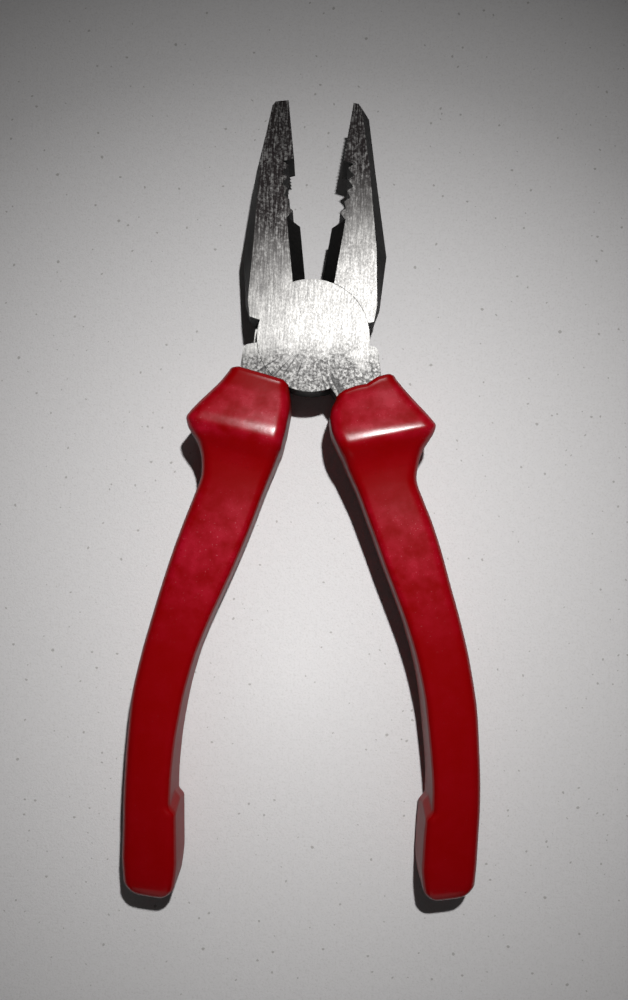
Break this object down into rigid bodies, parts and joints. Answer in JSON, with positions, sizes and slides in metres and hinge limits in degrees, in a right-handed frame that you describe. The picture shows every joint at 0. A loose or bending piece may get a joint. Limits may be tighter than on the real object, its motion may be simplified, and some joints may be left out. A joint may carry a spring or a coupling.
{
  "type": "combination pliers",
  "caption": "Combination pliers with flat grip, pipe grip and side cutters, a flush rivet joint, and red sleeves with finger guards.",
  "frame": {"origin": "on the rivet's axis, in the lower ground face of the joint", "axes": "+Y midway between the two jaws towards their tips, +X towards the right handle, +Z along the rivet, out of the upper ground face"},
  "size_m": [0.0796, 0.1771, 0.02],
  "materials": {
    "steel": "forged, black oxide on the sides, faces ground bright",
    "rivet_steel": "ground flush with the faces",
    "sleeve_plastic": "moulded, semi-gloss, worn matte on the guards"
  },
  "bodies": {
    "back": {"back_half": "steel", "pivot_rivet": "rivet_steel", "left_sleeve": "sleeve_plastic"},
    "front": {"front_half": "steel", "right_sleeve": "sleeve_plastic"}
  },
  "joints": [
    {"name": "rivet_pivot", "type": "hinge", "parent": "back", "child": "front", "pos_m": [0, 0, 0.00525], "axis": [0, 0, 1], "range_deg": [-15.5, 20]}
  ]
}
